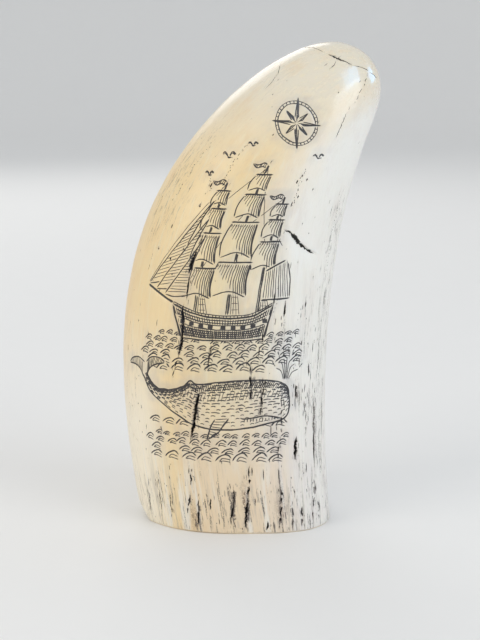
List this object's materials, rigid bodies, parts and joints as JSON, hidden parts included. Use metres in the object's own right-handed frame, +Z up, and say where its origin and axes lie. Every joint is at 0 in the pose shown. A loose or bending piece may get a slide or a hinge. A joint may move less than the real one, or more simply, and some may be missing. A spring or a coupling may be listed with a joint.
{
  "type": "scrimshaw whale tooth",
  "caption": "Ivory whale tooth that stands on its flat sawn root and bends to a blunt tip, with drying splits and an inked engraving on the front; an ornament.",
  "frame": {"origin": "centre of the flat sawn root, on the surface it stands on", "axes": "+Z up along the standing tooth, +X the side the tip leans to, -Y the engraved front"},
  "size_m": [0.0807, 0.0518, 0.15],
  "materials": {
    "ivory": "satin"
  },
  "bodies": {
    "root": {"whale_tooth": "ivory"}
  },
  "joints": []
}
